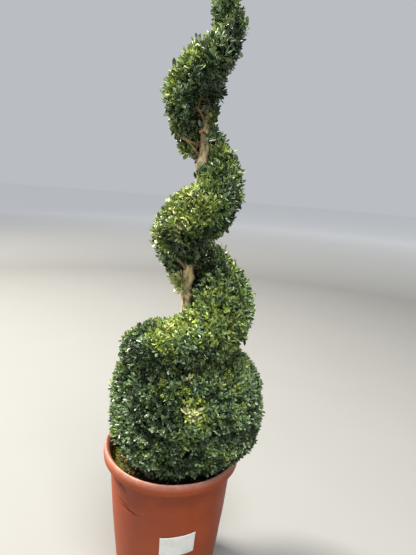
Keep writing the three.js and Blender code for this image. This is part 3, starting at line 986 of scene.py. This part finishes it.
leaves = leavesOn(sprays, leafHabit["pairs"])
tints = pickTints(sprays)
leafTint = tints[leaves["spray"]]
stray = rng.random(len(leafTint))
for low, high, was, now in strayLeaves:
    leafTint[(stray >= low) & (stray < high) & (leafTint == was)] = now
leafTint[(stray > 1 - leafHabit["dead"]) & (sprays["owner"][leaves["spray"]] != "skirt")] = "dry"
for place in dryPlaces:
    leafTint[np.argmin(norm(leaves["root"] - place, axis=1))] = "dry"
leaves["long"][leafTint == "dry"] *= 0.8
fits = leavesClear(leaves)
mostLeaves = 18000  # in one piece
for tint in leafTints:
    chosen = np.flatnonzero(fits & (leafTint == tint))
    for part in range(0, len(chosen), mostLeaves):
        data = picked(leaves, chosen[part:part + mostLeaves])
        piece = meshFromArrays(f"leaves_{tint}_{part // mostLeaves}", *leafMesh(data))
        settle(piece, leafMaterials[tint], "foliage", *(foliageNodes if (tint, part) == ("mid", 0) else ()))
print("leaves:", int(fits.sum()))


def makeCore():
    owner = coreSkins[2]
    kept = rng.random(len(owner)) < 1 - 0.55 * each(owner, "holes")
    inner = makeSprays(*(column[kept] for column in coreSkins))
    inner = picked(inner, np.minimum(depths(inner["base"]), depths(inner["tip"])) > 0)
    leaves = leavesOn(inner, leafHabit["innerPairs"])
    data = picked(leaves, leavesClear(leaves))
    data["long"] *= 1.1
    piece = meshFromArrays("leaves_inner", *leafMesh(data, plainPoints, plainFaces))
    # the inner leaves all take the darkest tint, as painted shade
    settle(piece, leafMaterials["deep"], "foliage")
    return inner


inner = makeCore()
print("inner leaves made")


mossShape = {"tufts": 46, "leaves": 26, "bearings": (178, 222), "radii": (0.188, 0.2265), "leaf": 0.0062,
             "within": 0.229}


def looseLeaves(root, ahead, up, long):
    # single leaves that hang on no spray
    return {"root": root, "ahead": ahead, "face": squared(up, ahead), "long": long, "wide": np.full(len(long), 0.5)}


def makeMoss():
    s = mossShape
    turn = np.radians(rng.uniform(*s["bearings"], s["tufts"]))
    foot = np.repeat(onCompost(rng.uniform(*s["radii"], s["tufts"]), turn), s["leaves"], axis=0)
    count = len(foot)
    ahead = unit(rng.normal(size=(count, 3)) * [1, 1, 0.6] + [0, 0, 0.9])
    rise = rng.uniform(0, 0.016, (count, 1))
    root = foot + ahead * rise + rng.normal(0, 0.003, (count, 3)) * [1, 1, 0]
    up = rng.normal(size=(count, 3)) + upAxis
    near = np.hypot(root[:, 0], root[:, 1]) < s["within"]
    data = looseLeaves(root[near], ahead[near], up[near], s["leaf"] * rng.uniform(0.6, 1.3, near.sum()))
    piece = meshFromArrays("moss", *leafMesh(data, plainPoints, plainFaces))
    settle(piece, mossLeaf, "soil")


def makeLitter():
    # fallen leaves on the compost
    count = compostShape["litter"]
    root = scatterRing(count, 0.12, 0.212) + [0, 0, 0.002]
    turn = rng.uniform(0, tau, count)
    ahead = unit(np.stack([np.cos(turn), np.sin(turn), rng.normal(0, 0.12, count)], -1))
    data = looseLeaves(root, ahead, upAxis + 0.25 * rng.normal(size=(count, 3)), rng.uniform(0.013, 0.021, count))
    fits = clearOfPot(root + ahead * data["long"][:, None] + [0, 0, 0.006])
    kinds = rng.random(count)
    for name, tint, chosen in (("litter_brown", "dry", kinds < 0.7), ("litter_green", "mid", kinds >= 0.7)):
        piece = meshFromArrays(name, *leafMesh(picked(data, chosen & fits)))
        settle(piece, leafMaterials[tint], "soil")


makeMoss()
makeLitter()
print("moss and fallen leaves made")


def tubes(paths, radii, sides):
    # closed tapering tubes: paths is (count, points, 3) and radii is (count, points)
    count, steps = paths.shape[:2]
    ahead = unit(np.gradient(paths, axis=1))
    guide = np.where(np.abs(ahead[:, :1, 2:3]) < 0.8, upAxis, np.array([1, 0, 0]))
    e1 = unit(np.cross(ahead, np.broadcast_to(guide, ahead.shape)))
    e2 = np.cross(ahead, e1)
    turn = np.arange(sides) * tau / sides
    ring = e1[:, :, None] * np.cos(turn)[:, None] + e2[:, :, None] * np.sin(turn)[:, None]
    points = paths[:, :, None] + ring * radii[:, :, None, None]
    index = np.arange(count * steps * sides).reshape(count, steps, sides)
    a, b = index[:, :-1], index[:, 1:]
    an, bn = np.roll(a, -1, axis=2), np.roll(b, -1, axis=2)
    cap = np.array([(0, k + 1, k) for k in range(1, sides - 1)])
    faces = [np.stack([a, an, bn], -1), np.stack([a, bn, b], -1), index[:, 0][:, cap], index[:, -1][:, cap[:, ::-1]]]
    return points.reshape(-1, 3), np.concatenate([f.reshape(-1, 3) for f in faces])


# branch, twig and shoot are radii where each starts and ends
twigShape = {
    "limbRadius": 0.0052, "limbTaper": 0.66, "thinner": 0.8, "branch": (0.0024, 0.0013),
    "twig": (0.0013, 0.0009), "shoot": (0.0009, 0.0005),
}


def forks(points, share, drop, spacing, least):
    # evenly spread places nearer the trunk than the points, and well inside the foliage
    heights = points[:, 2] - drop - rimLevel
    heights = np.clip(heights, trunkShape["foot"] + 0.02, trunkShape["tip"] - 0.02)
    centres = np.array([trunkCentre(h) for h in heights])
    moved = points + (centres - points) * share
    moved[:, 2] = np.maximum(moved[:, 2], soilLevel + 0.015)
    moved = moved[thinned(moved, spacing)]
    return moved[depths(moved) > least]


def bowed(a, b, count, lift):
    # a limb from a to b that leaves outwards and then turns up
    t = np.linspace(0, 1, count)[None, :, None]
    span = norm(b - a, axis=1)[:, None, None]
    sag = -lift * upAxis + 0.1 * rng.normal(size=(len(a), 3))
    return a[:, None] * (1 - t) + b[:, None] * t + sag[:, None] * span * (t * (1 - t) * 2)


allBases = np.concatenate([sprays["base"], inner["base"]])
branchNodes = forks(allBases, share=0.26, drop=0.012, spacing=0.042, least=0.006)
limbNodes = forks(branchNodes, share=0.42, drop=0.02, spacing=0.08, least=0.012)
# limbs start from the boughs' ends, or from the trunk where foliage hides it
trunkSteps = np.array([trunkCentre(h) for h in np.arange(-0.02, trunkShape["tip"] - 0.01, 0.012)])
hidden = np.minimum(depths(trunkSteps + [0, -0.024, 0]), depths(trunkSteps + [-0.024, 0, 0])) > 0
boughEnds = np.array([limbPoint(limb, t) for limb in limbs.values() for t in (0.55, 0.7, 0.85, 0.98)])
origins = np.concatenate([trunkSteps[hidden], boughEnds])


def bestSource(p, sources, tries):
    # the source with the shortest way to a point, best from below and through foliage
    away = sources - p
    cost = norm(away, axis=1) + 0.5 * np.maximum(0, away[:, 2])
    near = np.argsort(cost)[:tries]
    for k in near:
        way = min(deepest(p + away[k] * 0.3), deepest(p + away[k] * 0.6), deepest(p + away[k] * 0.85))
        cost[k] += 0.25 * (way < -0.01)
    return near[np.argmin(cost[near])]


def growLimbs(points, origins):
    # from the trunk outwards, each from the trunk, a bough or an earlier limb: where each starts, and how
    # many limbs lie between it and the trunk
    sources, ranks = list(origins), [0] * len(origins)
    starts, steps = np.empty_like(points), np.zeros(len(points))
    for i in np.argsort([trunkDistance(p) for p in points]):
        k = bestSource(points[i], np.array(sources), 10)
        starts[i], steps[i] = sources[k], ranks[k]
        sources.append(points[i])
        ranks.append(ranks[k] + 1)
    return starts, steps


limbStarts, limbRanks = growLimbs(limbNodes, origins)
limbPaths = bowed(limbStarts, limbNodes, 8, 0.1)
branchSources = np.concatenate([limbPaths[:, 2:].reshape(-1, 3), trunkSteps[hidden]])
branchFrom = branchSources[[bestSource(p, branchSources, 6) for p in branchNodes]]
branchPaths = bowed(branchFrom, branchNodes, 6, 0.08)
twigSources = np.concatenate([branchPaths[:, 2:].reshape(-1, 3), limbPaths[:, 5:].reshape(-1, 3)])
sourceTree = treeOf(twigSources)
twigFrom = twigSources[[sourceTree.find(p)[1] for p in allBases]]
twigPaths = bowed(twigFrom, allBases, 3, 0.06)


def tapered(paths, kind, sides):
    return tubes(paths, np.broadcast_to(np.linspace(*twigShape[kind], paths.shape[1]), paths.shape[:2]), sides)


s = twigShape
limbRadii = s["limbRadius"] * s["thinner"] ** limbRanks[:, None] * np.linspace(1, s["limbTaper"], 8)
limbPoints, limbFaces = tubes(limbPaths, limbRadii, 7)
points, faces = tapered(branchPaths, "branch", 5)
points, faces = np.concatenate([limbPoints, points]), np.concatenate([limbFaces, faces + len(limbPoints)])
settle(meshFromArrays("branches", points, faces), twigBark, "bark")
settle(meshFromArrays("twigs", *tapered(twigPaths, "twig", 3)), twigBark, "bark")
shoots = np.concatenate([sprays["path"], inner["path"]])[:, [0, 2, 3]]
settle(meshFromArrays("shoots", *tapered(shoots, "shoot", 3)), shootBark, "foliage")
print("limbs:", len(limbPaths), "branches:", len(branchPaths), "twigs:", len(twigPaths))


studio = {
    "floor": (0.205, 0.205, 0.2), "farFloor": (0.96, 0.96, 0.96), "floorRadius": 60,
    "sky": (0.91, 0.95, 1.0), "skyStrength": 0.54,
    "key": {"place": (-4.75, 2.2, 7.2), "size": 1.9, "power": 2320, "colour": (1.0, 0.95, 0.85)},
    "fill": {"place": (0.5, -1.5, 4.8), "size": 1.5, "power": 270, "colour": (1.0, 0.99, 0.96)},
    "front": {"place": (0.6, -4.6, 1.9), "size": 2.5, "power": 26, "colour": (1.0, 1.0, 1.0)},
}


def makeFloor():
    bm = bmesh.new()
    bmesh.ops.create_circle(bm, cap_ends=True, segments=96, radius=studio["floorRadius"])
    floor = finishBmesh("floor", bm)
    material, tree = newMaterial("pale floor")
    # paler far out, so that it runs into the backdrop without a line
    away = addNode(tree, "VectorMath", {0: objectCoords(tree)}, operation="LENGTH")
    part = addNode(tree, "Math", {0: away.outputs["Value"], 1: 1 / 24}, operation="MULTIPLY")
    far = ramp(tree, part.outputs[0], (0.26, studio["floor"]), (0.72, studio["farFloor"]))
    faint = ramp(tree, speckle(tree, 1.5, 60)[0], (0.3, 0.97), (0.7, 1))
    setShader(tree, {"Base Color": mixColour(tree, 1, far, faint, "MULTIPLY"), "Roughness": 0.9})
    floor.data.materials.append(material)


def makeLight(name, s):
    data = bpy.data.lights.new(name, "AREA")
    data.size = s["size"]
    data.energy = s["power"]
    data.color = s["colour"]
    light = addObject(name, data)
    light.location = s["place"]
    light.rotation_euler = (Vector((0, 0, 1.2)) - Vector(s["place"])).to_track_quat("-Z", "Y").to_euler()


def makeSky():
    world = bpy.data.worlds.new("studio")
    world.use_nodes = True
    background = world.node_tree.nodes["Background"]
    background.inputs["Color"].default_value = (*studio["sky"], 1)
    background.inputs["Strength"].default_value = studio["skyStrength"]
    bpy.context.scene.world = world


makeSky()
makeFloor()
for name in ("key", "fill", "front"):
    makeLight(name, studio[name])
print("studio made")

bpy.context.view_layer.update()
